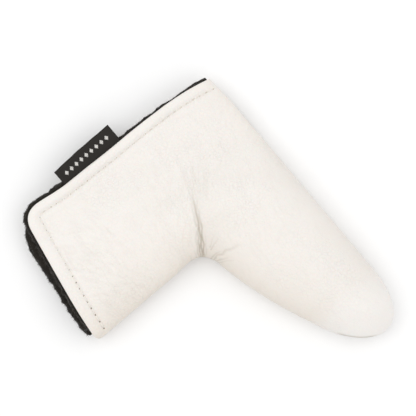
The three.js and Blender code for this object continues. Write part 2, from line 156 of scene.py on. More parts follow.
def normals(curve, t):
    """Unit vectors to the left of the curve's direction."""
    t = np.asarray(t, float)
    return to_left(unit(curve(np.minimum(t + 1e-4, 1)) - curve(np.maximum(t - 1e-4, 0))))


def directions(line):
    """Unit vectors along a polyline, and unit vectors to their left."""
    ahead = unit(np.gradient(line, axis=0))
    return ahead, to_left(ahead)


def lengths_along(line):
    """The length of a polyline up to each of its points."""
    return np.concatenate([[0], np.cumsum(np.linalg.norm(np.diff(line, axis=0), axis=1))])


def place_on(line, lengths, at):
    """The polyline's point at each length `at`."""
    return np.stack([np.interp(at, lengths, line[:, i]) for i in range(line.shape[1])], 1)


steps = lambda n, a=0.0, b=1.0: np.linspace(a, b, n + 1)
beside = lambda curve, distance, t: curve(t) + normals(curve, t) * distance

heel_edge = spline(
    (0, 0), (HEEL_FLARE * 0.55, NECK_HEEL_HEIGHT * 0.24),
    (HEEL_FLARE * 0.68, NECK_HEEL_HEIGHT * 0.6), (HEEL_FLARE, NECK_HEEL_HEIGHT),
)
_t = steps(2000)
_heel = heel_edge(_t)
heel_x = lambda y: np.interp(y, _heel[:, 1], _heel[:, 0])
heel_t = lambda y: np.interp(y, _heel[:, 1], _t)
MOUTH_SLOPE = (NECK_INNER_HEIGHT - NECK_HEEL_HEIGHT) / (-NECK_WIDTH - HEEL_FLARE)
mouth_top = lambda x: NECK_HEEL_HEIGHT + (x - HEEL_FLARE) * MOUTH_SLOPE

crotch = np.array([-NECK_WIDTH, BLADE_HEIGHT])
toe_top = np.array([TOE_LENGTH - BLADE_LENGTH, TOE_HEIGHT])
toe_tip = np.array([-BLADE_LENGTH, TOE_TIP_HEIGHT])
sole_end = np.array([toe_top[0] + TOE_LENGTH * 0.2, 0])
bow = (crotch + toe_top) / 2 - to_left(unit(toe_top - crotch)) * BLADE_BULGE
blade_start = crotch + unit(bow - crotch) * CROTCH_FILLET
heading = unit(toe_top - bow)
crotch_curve = bezier(crotch + (0, CROTCH_FILLET), crotch, blade_start)
blade_curve = bezier(blade_start, bow, toe_top)
toe_upper = bezier(toe_top, toe_top + heading * TOE_LENGTH * 0.48,
                   toe_tip + (0, (TOE_HEIGHT - TOE_TIP_HEIGHT) * 0.42), toe_tip)
toe_lower = bezier(sole_end, sole_end - (TOE_LENGTH * 0.6, 0), toe_tip * (1, 0.38), toe_tip)


def rails(side, inset, reach_top, reach_heel, rows):
    """The inner and outer rail from the mouth to the toe tip, with the same number of points."""
    corner = side["corner"]
    top = lambda x: mouth_top(x) + reach_top
    x0 = inset - NECK_WIDTH
    r = max(SEAM_END_CORNER - inset, 0.5)
    inner_corner = bezier((x0 + r, top(x0 + r)), (x0, top(x0)), (x0, top(x0) - r))
    neck_line = bezier((x0, top(x0) - r), (x0, (top(x0) - r + crotch[1] + CROTCH_FILLET) / 2),
                       (x0, crotch[1] + CROTCH_FILLET))
    x1 = HEEL_FLARE + reach_heel
    turn_t = heel_t(NECK_HEEL_HEIGHT - corner)
    turn_end = heel_edge(turn_t) + (reach_heel, 0)
    heel_turn = bezier((x1 - corner, top(x1 - corner)), (x1, top(x1)), turn_end)
    heel_side = beside(heel_edge, -reach_heel, steps(rows["neck"], turn_t, heel_t(inset)))
    heel_side[0] = turn_end
    heel_side[-1] = (heel_x(inset) + reach_heel, inset)
    sole = bezier(heel_side[-1], ((heel_side[-1][0] + sole_end[0]) / 2, inset), (sole_end[0], inset))
    joined = lambda *parts: np.concatenate([part[:-1] for part in parts[:-1]] + [parts[-1]])
    inner = joined(
        inner_corner(steps(rows["corner"])), neck_line(steps(rows["neck"])),
        beside(crotch_curve, inset, steps(rows["crotch"])),
        beside(blade_curve, inset, steps(rows["blade"])),
        beside(toe_upper, inset, steps(rows["toe"])),
    )
    outer = joined(
        heel_turn(steps(rows["corner"])), heel_side, sole(steps(rows["crotch"] + rows["blade"])),
        beside(toe_lower, -inset, steps(rows["toe"])),
    )
    return inner, outer


# ---- Distances ----
def distance_to(line, points):
    """Distance from each point to a polyline, and how far along it the nearest place is (0 to 1)."""
    line = np.asarray(line, float)
    nearest = np.full(len(points), 1e9)
    reached = np.zeros(len(points))
    start = lengths_along(line)
    for i, length in enumerate(np.diff(start)):
        if length == 0:
            continue
        ahead = (line[i + 1] - line[i]) / length
        offset = points - line[i]
        passed = np.clip(offset @ ahead, 0, length)
        distance = np.linalg.norm(offset - passed[:, None] * ahead, axis=1)
        nearer = distance < nearest
        nearest[nearer] = distance[nearer]
        reached[nearer] = start[i] + passed[nearer]
    return nearest, reached / start[-1]


inner_seam = np.concatenate([
    [(-NECK_WIDTH, NECK_INNER_HEIGHT + BLADE_LENGTH)], crotch_curve(steps(20)), blade_curve(steps(24)),
    toe_upper(steps(30)), [(toe_tip[0], -BLADE_LENGTH)],
])
sole_seam = np.concatenate([
    [(BLADE_LENGTH, 0)], toe_lower(steps(36)), [(toe_tip[0], BLADE_LENGTH)],
])


def drawn_in(xy, reach):
    """The mouth's edge runs in to the seam at the inner corner, however far it stands out before."""
    x, y = xy[:, 0], xy[:, 1]
    from_edge = mouth_top(x) + reach - y
    pull = (1 - smoothstep(x, -58.5, -45)) * smoothstep(from_edge, 12, 0)
    return np.column_stack([x, y - reach * pull])


def mouth_line(side, inset_top=0.0, inset_heel=0.0, corner=None):
    """The mouth's edge, or a line inside it, from the heel corner round to the inner seam."""
    corner = corner or side["corner"]
    turn_from = NECK_HEEL_HEIGHT - inset_top - corner
    heel = [(heel_x(y) - inset_heel, y) for y in np.linspace(0, turn_from, 90)]
    x1 = HEEL_FLARE - inset_heel
    top = lambda x: mouth_top(x) + side["reach"] - inset_top
    turn = bezier(heel[-1], (x1, top(x1)), (x1 - corner, top(x1 - corner)))(steps(14))
    x0 = -NECK_WIDTH
    end = [(x0 + SEAM_END_CORNER, top(x0 + SEAM_END_CORNER))]
    if inset_top == 0:
        end = bezier(end[0], (x0, top(x0)), (x0, top(x0) - SEAM_END_CORNER))(steps(10))
    else:
        end = [(x0 + 2.0, top(x0 + 2.0))]
    middle = bezier(turn[-1], (turn[-1] + end[0]) / 2, end[0])(steps(24))[1:-1]
    return drawn_in(np.concatenate([heel[:-1], turn, middle, end]), side["reach"])


def roll(distance, width):
    u = np.clip(distance / width, 0, 1)
    return (1 - (1 - u) ** ROLL_POWER) ** (1 / ROLL_POWER)


def fullness(side, xy, inset=0.0, depth=0.0):
    x, y = xy[:, 0], xy[:, 1]
    from_heel = heel_x(np.clip(y, 0, NECK_HEEL_HEIGHT)) - x
    opened = smoothstep(from_heel, side["closed"], side["closed"] + side["swell"])
    crown = lerp(BLADE_CROWN, NECK_CROWN, smoothstep(y, CROWN_FROM, CROWN_TO)) \
        if side["sign"] > 0 else BACK_DEPTH
    full = lerp(MOUTH_HALF, crown, opened) - depth
    rise = roll(distance_to(inner_seam, xy)[0] - inset, side["roll"]) \
        * roll(distance_to(sole_seam, xy)[0] - inset, side["roll"])
    return SEAM_FACE + (full - SEAM_FACE) * rise


# ---- Noise that is the same each run ----
class Waves:
    """Smooth noise in the plane: a sum of waves with wavelengths about `size`."""

    def __init__(self, size, count=24, stretch=(1, 1), seed=1):
        r = np.random.default_rng(seed)
        angle = r.uniform(0, 2 * math.pi, count)
        k = 2 * math.pi / (size * r.uniform(0.7, 1.6, count))
        self.k = np.stack([k * np.cos(angle) / stretch[0], k * np.sin(angle) / stretch[1]])
        self.phase = r.uniform(0, 2 * math.pi, count)
        self.gain = math.sqrt(2 / count)

    def __call__(self, xy):
        return np.sin(xy @ self.k + self.phase).sum(1) * self.gain


# ---- Creases of the front panel ----
# Each line has its points, how it strays (amount, turns and seed), and the width and depth of its
# rounded groove at both ends.
def wander(points, amount, turns, seed):
    """A smooth line through the points that strays sideways by `amount`."""
    t = steps(40)
    stray = np.sin(t * turns * 2 * math.pi + seed) + 0.5 * np.sin(t * turns * 5.3 + 2 * seed)
    return beside(spline(*points), (stray * amount * np.minimum(t * 4, 1))[:, None], t)


MAIN_CREASE = [
    (-63.2, 58.6), (-58, 54.8), (-52, 50.8), (-45, 46.6), (-37.4, 42.6), (-29.4, 37.4), (-20, 34),
]
CREASES = [(wander(points, *straying), width, depth) for points, straying, width, depth in (
    (MAIN_CREASE, (0.0, 1, 0), (2.4, 6.5), (1.3, 0.0)),
    (MAIN_CREASE[:6], (0.16, 5, 0.4), (0.55, 0.8), (1.2, 0.1)),
    ([(-63.6, 58.1), (-58.5, 54.1), (-52.6, 50.1), (-46.2, 45.9), (-40.2, 42.8)], (0.18, 4, 2.1),
     (0.45, 0.6), (1.0, 0.1)),
    ([(-62.7, 58.9), (-57.4, 55.6), (-51.6, 51.7), (-46.4, 47.6)], (0.2, 5, 4.0),
     (0.4, 0.6), (0.8, 0.08)),
    ([(-62.2, 59.3), (-56.8, 56.4), (-50.9, 52.5), (-45.8, 48.7)],
     (0.16, 4, 1.0), (0.4, 0.6), (0.45, 0.04)),
    ([(-63.9, 57.6), (-59.2, 53.2), (-53.6, 49.2), (-49, 45.4)], (0.16, 4, 3.0), (0.4, 0.6), (0.4, 0.04)),
    ([(-50, 48.2), (-43.6, 44.7), (-37, 40.6), (-31, 37.2)], (0.2, 4, 2.6), (0.5, 0.7), (0.35, 0.03)),
    ([(-48, 49.6), (-42, 46.6), (-35, 42.4), (-28.4, 38.8)], (0.2, 4, 5.2), (0.5, 0.7), (0.28, 0.03)),
    ([(-64.8, 55.4), (-65.2, 50), (-66.4, 44), (-69.5, 36.4)], (0.3, 4, 1.0),
     (0.5, 1.5), (0.34, 0.05)),
    ([(-64.0, 55.6), (-63.8, 51), (-64.6, 46.5)], (0.1, 2, 2.0), (0.45, 0.7), (0.45, 0.03)),
    ([(-66.2, 54.2), (-67.6, 50.5), (-69.6, 46)], (0.1, 2, 3.0), (0.4, 0.7), (0.4, 0.02)),
    ([(-67.4, 53.4), (-69.6, 49.5), (-72.4, 45)], (0.1, 2, 1.4), (0.4, 0.7), (0.25, 0.02)),
    ([(-60.8, 51.6), (-59.4, 47.2), (-58.2, 42.6)], (0.1, 2, 5.0), (0.4, 0.5), (0.3, 0.04)),
    ([(-59.6, 51.2), (-57.4, 47.6), (-55.6, 44)], (0.1, 2, 2.0), (0.4, 0.5), (0.25, 0.04)),
    ([(-60.2, 59.8), (-57.4, 58.2), (-54.8, 57.4)], (0.1, 2, 0.7), (0.4, 0.7), (0.3, 0.02)),
    ([(-59.6, 62.0), (-56.4, 61.2), (-53.6, 61.4)], (0.1, 2, 0.2), (0.4, 0.7), (0.2, 0.02)),
)]


def short_creases(count, seed):
    """Faint wrinkles that run across the panel, closer together near the crotch."""
    r = np.random.default_rng(seed)
    out = []
    while len(out) < count:
        x, y = r.uniform(-130, -2), r.uniform(5, 108)
        if y > 50 and x < -55:
            continue
        nearness = math.exp(-math.hypot(x + 46, y - 46) / 26)
        near_mouth = float(smoothstep(y, 76, 96)) * float(smoothstep(x, -4, -16))
        if r.random() > nearness * 1.2 + 0.45 * near_mouth + 0.07:
            continue
        usual = 31 if y > 50 else -4
        angle = math.radians(r.normal(lerp(usual, -38, min(nearness * 1.3, 1)), 13))
        half = r.uniform(1.2, 4.2)
        d = np.array([math.cos(angle), math.sin(angle)]) * half
        p = np.array([x, y])
        bend = np.array([-d[1], d[0]]) * r.normal(0, 0.25)
        out.append((p - d, p + bend, p + d, r.uniform(0.26, 0.5),
                    r.uniform(0.02, 0.055) + 0.07 * nearness + 0.06 * near_mouth))
    return out


def fan_creases(seed):
    """The main crease opens into a fan of thin parallel folds towards the heel."""
    r = np.random.default_rng(seed)
    out = []
    for k in range(15):
        share = k / 14
        start = lerp(np.array([-40.0, 44.5]), np.array([-44.0, 39.5]), share) + r.uniform(-1.6, 1.6, 2)
        end = lerp(np.array([-19.0, 36.5]), np.array([-28.5, 27.5]), share) + r.uniform(-1.6, 1.6, 2)
        bend = (start + end) / 2 + r.normal(0, 0.5, 2)
        out.append((start, bend, end, r.uniform(0.32, 0.5), r.uniform(0.09, 0.19)))
    return out


SHORT_CREASES = short_creases(900, 11) + fan_creases(4)


def left_of(line, points, t):
    """How far each point lies to the left of the line's nearest place, a share `t` along it."""
    share = lengths_along(line)
    share /= share[-1]
    heading = place_on(line, share, t + 0.02) - place_on(line, share, t - 0.02)
    offset = points - place_on(line, share, t)
    side = heading[:, 0] * offset[:, 1] - heading[:, 1] * offset[:, 0]
    return side / np.linalg.norm(heading, axis=1)


def near_line(line, reach, xy):
    """Which points lie within `reach` of the line's bounding box."""
    return ((xy > line.min(0) - reach) & (xy < line.max(0) + reach)).all(1)


def crease_depth(xy):
    """How far the front panel sinks at each point, and the painted shade in its folds (0 to 1)."""
    sink = np.zeros(len(xy))
    dark = np.zeros(len(xy))
    for line, width, depth in CREASES:
        valley = max(width) > 5
        m = near_line(line, max(width) * (7 if valley else 3), xy)
        d, t = distance_to(line, xy[m])
        w = lerp(width[0], width[1], t)
        fade = smoothstep(1 - t, 0.0, 0.35)
        amount = lerp(depth[0], depth[1], t ** 0.7) * fade
        swell = 0.22 * amount
        if valley:  # it falls steeply on the neck's side and rises gently towards the sole
            neck_side = smoothstep(left_of(line, xy[m], t), -1, 1)
            w = w * lerp(1.9, 0.5, neck_side)
            swell *= neck_side
            shade = 0.22 * (amount / depth[0]) ** 1.3 * np.exp(-(d / (0.8 * w)) ** 2)
            # A faint broad painted shade on the sole's side of the valley.
            shade = np.maximum(shade, 0.085 * fade * (1 - neck_side) * np.exp(-(d / 12) ** 2))
        else:
            shade = np.minimum(amount / 0.5, 1) * np.exp(-(d / (w * 0.8)) ** 2)
        sink[m] += amount * np.exp(-(d / w) ** 2) - swell * np.exp(-((d - 1.9 * w) / w) ** 2)
        dark[m] = np.maximum(dark[m], shade)
    for a, b, c, width, depth in SHORT_CREASES:
        line = bezier(a, b, c)(steps(6))
        m = near_line(line, width * 3, xy)
        if not m.any():
            continue
        d, t = distance_to(line, xy[m])
        ends = np.sin(math.pi * t) ** 0.7
        sink[m] += depth * ends * np.exp(-(d / width) ** 2)
        # Painted shade in each short crease.
        dark[m] = np.maximum(dark[m], min(depth / 0.15, 1) * 0.16 * ends * np.exp(-(d / width) ** 2))
    return sink, dark


soft_front = Waves(38, 20, (1.5, 0.8), seed=3)
soft_back = Waves(40, 20, seed=5)
soft_small = Waves(11, 30, (1.6, 0.8), seed=8)
edge_wave = Waves(24, 12, seed=12)
ragged_edge = Waves(2.6, 30, seed=15)


# ---- Stitching line ----
def resampled(line, spacing):
    """Points at an even spacing along a polyline, and how far along it each one is."""
    lengths = lengths_along(line)
    at = np.arange(0, lengths[-1], spacing)
    return place_on(line, lengths, at), at


def stitch_line(side):
    line = mouth_line(side, HEM_STITCH_TOP, HEM_STITCH_HEEL, corner=3.0)
    line = line[line[:, 1] > 1.2]
    return resampled(line, 0.1)


STITCH_LINES = {1: stitch_line(FRONT), -1: stitch_line(BACK)}


def hem_relief(side, xy, d):
    """The rolled edge, the puffed hem and the channel that the stitches pull into the leather. `d` is
    the distance from the mouth's edge, and `ds` the distance from the stitching."""
    edge_radius = 1.2
    lift = np.clip(d, 0, edge_radius)
    round_off = edge_radius - np.sqrt(np.maximum(edge_radius**2 - (edge_radius - lift) ** 2, 0))
    line, lengths = STITCH_LINES[side["sign"]]
    near = d < 12
    ds = np.full(len(xy), 99.0)
    pitch = np.zeros(len(xy))
    ds[near], share = distance_to(line[::4], xy[near])
    pitch[near] = share * lengths[-1] / STITCH_PITCH * 2 * math.pi
    channel = 0.42 * np.exp(-(ds / 0.95) ** 2) + 0.28 * np.exp(-(ds / 2.4) ** 2)
    hole = 0.26 * np.exp(-(ds / 0.7) ** 2) * np.maximum(np.cos(pitch), 0) ** 4
    pucker = 0.07 * np.cos(pitch) * np.exp(-((ds - 1.6) / 1.1) ** 2)
    puff = -0.32 * np.exp(-((d - 2.9) / 1.5) ** 2) * (ds < 90)
    step = 0.22 * smoothstep(d, HEM_WIDTH - 0.4, HEM_WIDTH + 1.6)
    return round_off + channel + hole + pucker + puff + step


def seam_relief(xy, near):
    """Small puckers where the hidden stitches pull the seam."""
    t = (xy @ np.array([0.83, 0.55])) / 4.2 * 2 * math.pi
    return 0.1 * np.sin(t) * np.exp(-((near - 2.2) / 1.8) ** 2)


def inside_outline(side, xy):
    """Whether each point lies within the panel's outline, by counting the edges a ray crosses."""
    inner, outer = rails(side, 0.0, side["reach"], 0.0, PLAIN)
    ring = np.concatenate([inner, outer[::-1]])
    crossed = np.zeros(len(xy), bool)
    for (ax, ay), (bx, by) in zip(ring, np.roll(ring, -1, axis=0)):
        if ay == by:
            continue
        between = (ay > xy[:, 1]) != (by > xy[:, 1])
        crossed ^= between & (xy[:, 0] < ax + (xy[:, 1] - ay) * (bx - ax) / (by - ay))
    return crossed


def cloth_slack(side, spacing=3.0, frames=20):
    """Lets the panel puff and buckle as cloth between its seams and its stitched hem. Returns a
    function that gives the height gained at any place."""
    xs = np.arange(-BLADE_LENGTH - spacing, HEEL_FLARE + 2 * spacing, spacing)
    ys = np.arange(-spacing, NECK_INNER_HEIGHT + BACK_REACH + 2 * spacing, spacing)
    lattice = np.stack(np.meshgrid(xs, ys, indexing="ij"), -1).reshape(-1, 2)
    edge = np.minimum(distance_to(inner_seam, lattice)[0], distance_to(sole_seam, lattice)[0])
    edge = np.minimum(edge, distance_to(mouth_line(side), lattice)[0])
    gained = np.zeros(len(lattice))
    used = inside_outline(side, lattice) & (edge > 1)
    number = np.cumsum(used) - 1
    quads = grid_faces(len(xs), len(ys))
    quads = number[quads[used[quads].all(1)]]
    before = np.column_stack([lattice, fullness(side, lattice)])[used]
    cloth = new_object("cloth_slack", before, quads)
    held = cloth.vertex_groups.new(name="held")
    for i, weight in enumerate(lerp(1.0, 0.12, smoothstep(edge[used], 5, 17))):
        held.add([i], float(weight), "REPLACE")
    sim = cloth.modifiers.new("sim", "CLOTH")
    leather_cloth = sim.settings
    leather_cloth.quality = 8
    leather_cloth.mass = 0.25
    leather_cloth.tension_stiffness = leather_cloth.compression_stiffness = 20
    leather_cloth.bending_stiffness = 12
    leather_cloth.vertex_group_mass = "held"
    leather_cloth.pin_stiffness = 1.0
    leather_cloth.shrink_min = -0.015  # the panel is cut a little larger than the space it spans
    leather_cloth.use_pressure = True
    leather_cloth.uniform_pressure_force = 1.5
    leather_cloth.effector_weights.gravity = 0
    sim.point_cache.frame_end = frames
    for at in range(1, frames + 1):
        bpy.context.scene.frame_set(at)
    mesh = cloth.data
    start, after = np.empty((2, len(before) * 3), np.float32)
    mesh.vertices.foreach_get("co", start)
    settled_cloth = cloth.evaluated_get(bpy.context.evaluated_depsgraph_get())
    settled_cloth.data.vertices.foreach_get("co", after)
    rise = (after - start).reshape(-1, 3)[:, 2] * 1000
    gained[used] = CLOTH_CAP * np.tanh(rise / CLOTH_CAP) * smoothstep(edge[used], 3, 12)
    gained = np.maximum(gained, -0.3)
    bpy.data.objects.remove(cloth)
    bpy.data.meshes.remove(mesh)
    bpy.context.scene.frame_set(1)
    table = gained.reshape(len(xs), len(ys))
    for _ in range(2):  # leather is too stiff for ripples as small as the lattice
        table = (table + sum(np.roll(table, s, axis=a) for s in (-1, 1) for a in (0, 1))) / 5

    def lookup(xy):
        u = np.clip((xy[:, 0] - xs[0]) / spacing, 0, len(xs) - 1.001)
        v = np.clip((xy[:, 1] - ys[0]) / spacing, 0, len(ys) - 1.001)
        i, j = u.astype(int), v.astype(int)
        u, v = (t * t * (3 - 2 * t) for t in (u - i, v - j))
        near, far = lerp(table[i, j], table[i, j + 1], v), lerp(table[i + 1, j], table[i + 1, j + 1], v)
        return lerp(near, far, u)
    return lookup


def leather_height(side, xy):
    """Height of the leather's outer face over the seam's plane, and the painted shade in its folds and along
    the toe's seam.
    """
    d = distance_to(mouth_line(side), xy)[0]
    base = fullness(side, xy)
    inner, sole = distance_to(inner_seam, xy)[0], distance_to(sole_seam, xy)[0]
    near = np.minimum(inner, sole)
    inside = smoothstep(near, 1.5, 16)
    sink = hem_relief(side, xy, d) * smoothstep(base, 0.2, 5.0)
    sink += seam_relief(xy, near) * smoothstep(d, 4, 9)
    free = smoothstep(d, 7, 20) * inside
    dark = np.zeros(len(xy))
    if side["sign"] > 0:
        crease, dark = crease_depth(xy)
        sink += crease * smoothstep(base, 0.4, 4.5)
        sink += free * (0.1 * (1 + soft_front(xy)) + 0.03 * soft_small(xy)) - CLOTH_RISE[1](xy)
    else:
        rest = free * (0.3 + 0.15 * soft_back(xy) + 0.03 * soft_small(xy)) - CLOTH_RISE[-1](xy)
        sink = np.maximum(sink + rest, 0)
    sink += 0.05 * (1 + edge_wave(xy)) * smoothstep(d, 5, 0)
    # A painted shade line along the seam under the toe, where the panel turns away from the light.
    toe = smoothstep(xy[:, 0], -127, -131) * smoothstep(xy[:, 1], 17, 21)
    dark = np.maximum(dark, 0.95 * toe * np.exp(-(inner / 0.6) ** 2))
    return np.maximum(base - sink, SEAM_FACE), dark


# ---- Meshes ----
def linked(name, data):
    obj = bpy.data.objects.new(name, data)
    bpy.context.scene.collection.objects.link(obj)
    return obj


def new_object(name, points, faces, material=None, smooth=True, attributes=None):
    mesh = bpy.data.meshes.new(name)
    mesh.from_pydata(to_frame(settled(points)).tolist(), [], [list(map(int, f)) for f in faces])
    mesh.update()
    obj = linked(name, mesh)
    for key, values in (attributes or {}).items():
        layer = mesh.attributes.new(key, "FLOAT", "POINT")
        layer.data.foreach_set("value", np.asarray(values, np.float32))
    if smooth:
        mesh.polygons.foreach_set("use_smooth", [True] * len(mesh.polygons))
    if material:
        mesh.materials.append(material)
    return obj


def grid_faces(rows, columns, offset=0, flip=False):
    r, c = np.meshgrid(np.arange(rows - 1), np.arange(columns - 1), indexing="ij")
    a = (r * columns + c).ravel() + offset
    quads = np.stack([a, a + columns, a + columns + 1, a + 1], 1)
    return quads[:, ::-1] if flip else quads


def surface_xy(side, inset, reach_top, reach_heel, rows, across):
    inner, outer = rails(side, inset, reach_top, reach_heel, rows)
    share = lerp((1 - np.cos(np.pi * steps(across))) / 2, steps(across), 0.25)[:, None]
    return inner[:, None] + (outer - inner)[:, None] * share


def rim_loop(xy, rows):
    """Indices, in the grid, of the mouth's edge: up the heel, over the neck, round the inner corner."""
    columns = xy.shape[1]
    heel = np.arange(rows["corner"] + rows["neck"], 0, -1) * columns + columns - 1
    top = np.arange(columns - 1, -1, -1)
    corner = np.arange(1, rows["corner"] + 1) * columns
    return np.concatenate([heel, top, corner])


FINE = {"corner": 26, "neck": 190, "crotch": 52, "blade": 110, "toe": 46}
PLAIN = {"corner": 16, "neck": 90, "crotch": 30, "blade": 70, "toe": 34}


CLOTH_CAP = 1.2
CLOTH_RISE = {1: cloth_slack(FRONT), -1: cloth_slack(BACK)}


def leather_panel(name, side, rows, across, material):
    """One panel in one sheet: outer face, rolled edge, hem folded back inside, seam turned in."""
    sign = side["sign"]
    xy = surface_xy(side, 0.0, side["reach"], 0.0, rows, across)
    flat = drawn_in(xy.reshape(-1, 2), side["reach"])
    z, dark = leather_height(side, flat)
    corner, columns = rows["corner"], xy.shape[1]
    neck_end = corner + rows["neck"]
    height_grid = z.reshape(xy.shape[:2])  # a view: the two panels meet along the seam
    height_grid[corner:, 0] = height_grid[neck_end:, -1] = height_grid[-1] = SEAM_GAP
    inner_d, sole_d = distance_to(inner_seam, flat)[0], distance_to(sole_seam, flat)[0]
    painted_toe_light = smoothstep(flat[:, 0], -112, -136)  # painted light, making the toe paler where its sides lie in shade
    # Painted shade: warmer and darker near the seams, where the panel's sides turn from the light; painted
    # light at the toe.
    painted_shade_toe_light = (np.exp(-inner_d / 11) + 0.35 * np.exp(-sole_d / 6)) * (1 - painted_toe_light) - painted_toe_light
    points = [np.column_stack([flat, sign * z])]
    faces = [grid_faces(*xy.shape[:2], flip=sign < 0)]
    painted_crease_seam_shades, painted_shades_toe_lights = [dark], [painted_shade_toe_light]

    def add_strip(previous, edge, place, height):
        """Joins a new row of points to the previous one. Its painted shade and light are those of the outer
        edge.
        """
        ring = np.arange(len(place)) + sum(map(len, points))
        points.append(np.column_stack([place, sign * height]))
        quad = np.column_stack([previous[:-1], previous[1:], ring[1:], ring[:-1]])
        faces.append(quad if sign > 0 else quad[:, ::-1])
        painted_crease_seam_shades.append(np.zeros(len(place)))
        painted_shades_toe_lights.append(painted_shade_toe_light[edge])
        return ring

    # The mouth's edge turns under in a half round and lies back along the inside.
    edge = rim_loop(xy, rows)
    inward, height = directions(flat[edge])[1], z[edge]
    thick = np.minimum(LEATHER, 0.3 * height)
    profile = [(LEATHER * (1 - math.cos(a)), math.sin(a)) for a in np.linspace(0, math.pi / 2, 6)[1:]]
    profile += [(2.5, 1.0), (4.5, 1.0), (6.5, 1.0), (HEM_WIDTH, 1.0), (HEM_WIDTH + 0.3, 0.2)]
    previous = edge
    for inwards, drop in profile:
        reach = np.minimum(inwards, 0.9 * height + 0.05)
        previous = add_strip(previous, edge, flat[edge] + inward * reach[:, None],
                             np.maximum(height - thick * drop, SEAM_FACE))
    # Along the seam the leather turns in and lies flat beside the other panel's.
    for seam in (np.arange(corner, len(xy)) * columns, np.arange(len(xy), neck_end, -1) * columns - 1):
        place = flat[seam] + directions(flat[seam])[1] * SEAM_ALLOWANCE * 0.6
        add_strip(seam, seam, place, np.full(len(seam), SEAM_FACE))
    # Both attributes carry painted light and shade: "fold" the shade in creases and along the toe's seam,
    # the other the shade near the seams and the light at the toe.
    return new_object(name, np.concatenate(points), np.concatenate(faces), material,
                      attributes={"fold": np.concatenate(painted_crease_seam_shades), "painted_seam_shade_toe_light": np.concatenate(painted_shades_toe_lights)})


def lining_outline(side, xy, inset):
    """The fleece shows by a changing width and runs out into the seam at both ends of the mouth.
    Returns the moved points and how far inside the seam each one now counts."""
    x, y = xy[:, 0], xy[:, 1]
    from_heel = heel_x(np.clip(y, 0, NECK_HEEL_HEIGHT)) - x
    from_mouth = mouth_top(x) + side["reach"] - y
    heel_end = (inset - 1.3) * smoothstep(from_heel, 16, 1) * smoothstep(y, 24, inset)
    neck_end = 2.2 * smoothstep(x, -44, -52) * smoothstep(from_mouth, 14, 2)
    ragged = 0.26 * ragged_edge(xy) * smoothstep(y, 8, 16) * smoothstep(x, -56, -50)
    shows = FRONT_SHOWS(x) if side["sign"] > 0 else BACK_SHOWS(x)
    spread = (HEEL_SHOWS(y) - LINING_REACH) * smoothstep(from_heel, 12, 0)
    spread += ragged * smoothstep(from_heel, 4, 0)
    rise = (shows - side["reach"] - LINING_REACH) * smoothstep(from_mouth, 12, 0)
    rise += ragged * smoothstep(from_mouth, 4, 0)
    moved = np.column_stack([x - neck_end + spread, y - heel_end + rise])
    return moved, inset - np.maximum(heel_end, neck_end)


def lining_panel(name, side, rows, across, material):
    """The fleece as a closed sheet with a soft round edge at the mouth and lumpy pile. Returns the
    piece and its edge along the mouth."""
    sign = side["sign"]
    lumps = Waves(3.2, 40, seed=21 + sign)
    broad = Waves(14, 20, seed=31 + sign)
    half = LINING / 2
    layers = []
    for outer in (1, -1):
        below = 0 if outer > 0 else LINING
        xy = surface_xy(side, LINING_INSET + below, side["reach"] + LINING_REACH, LINING_REACH, rows, across)
        flat, inset = lining_outline(side, xy.reshape(-1, 2), LINING_INSET + below)
        if outer > 0:
            edge_line = flat[rim_loop(xy, rows)]
        d = distance_to(edge_line[::3], flat)[0]
        round_off = half - np.sqrt(np.maximum(half**2 - (half - np.clip(d, 0, half)) ** 2, 0))
        pile = np.abs(0.16 * lumps(flat) + 0.1 * broad(flat)) * (0.8 if outer > 0 else -0.5)
        z = fullness(side, flat, inset, LINING_DEPTH + below) - outer * round_off * 0.96
        z -= pile * smoothstep(d, -1, 1.2)
        layers.append(np.column_stack([flat, sign * np.maximum(z, SEAM_FACE)]))
    shape, n = xy.shape[:2], len(flat)
    faces = [grid_faces(*shape, flip=sign < 0), grid_faces(*shape, offset=n, flip=sign > 0)]
    grid = np.arange(n).reshape(shape)
    loop = np.concatenate([grid[0], grid[1:, -1], grid[-2:0:-1, 0]])
    onward = np.roll(loop, -1)
    quad = np.column_stack([loop, onward, onward + n, loop + n])
    faces.append(quad if sign < 0 else quad[:, ::-1])
    return new_object(name, np.concatenate(layers), np.concatenate(faces), material), edge_line


def tube(points, radius, sides=6):
    """Vertices and faces of a closed tube along a line."""
    points = np.asarray(points, float)
    t = unit(np.gradient(points, axis=0))
    u = unit(np.cross(t, (0, 0, 1.0)))
    v = np.cross(t, u)
    angle = np.arange(sides) * 2 * math.pi / sides
    radius = np.broadcast_to(radius, len(points))
    rings = points[:, None] + radius[:, None, None] * (
        np.cos(angle)[None, :, None] * u[:, None] + np.sin(angle)[None, :, None] * v[:, None])
    faces = []
    for r in range(len(points) - 1):
        for s in range(sides):
            q = (s + 1) % sides
            faces.append([r * sides + s, r * sides + q, (r + 1) * sides + q, (r + 1) * sides + s])
    faces.append(list(range(sides))[::-1])
    faces.append([(len(points) - 1) * sides + s for s in range(sides)])
    return rings.reshape(-1, 3), faces


class Batch:
    """Collects many small solids into one mesh."""

    def __init__(self):
        self.points, self.faces, self.count = [], [], 0

    def add(self, points, faces):
        self.points.append(points)
        self.faces += [[i + self.count for i in f] for f in faces]
        self.count += len(points)

    def build(self, name, material, attributes=None):
        return new_object(name, np.concatenate(self.points), self.faces, material, attributes=attributes)


def on_heel(side, place):
    return place[1] < mouth_top(place[0]) - HEM_STITCH_TOP + side["reach"] - 1.0


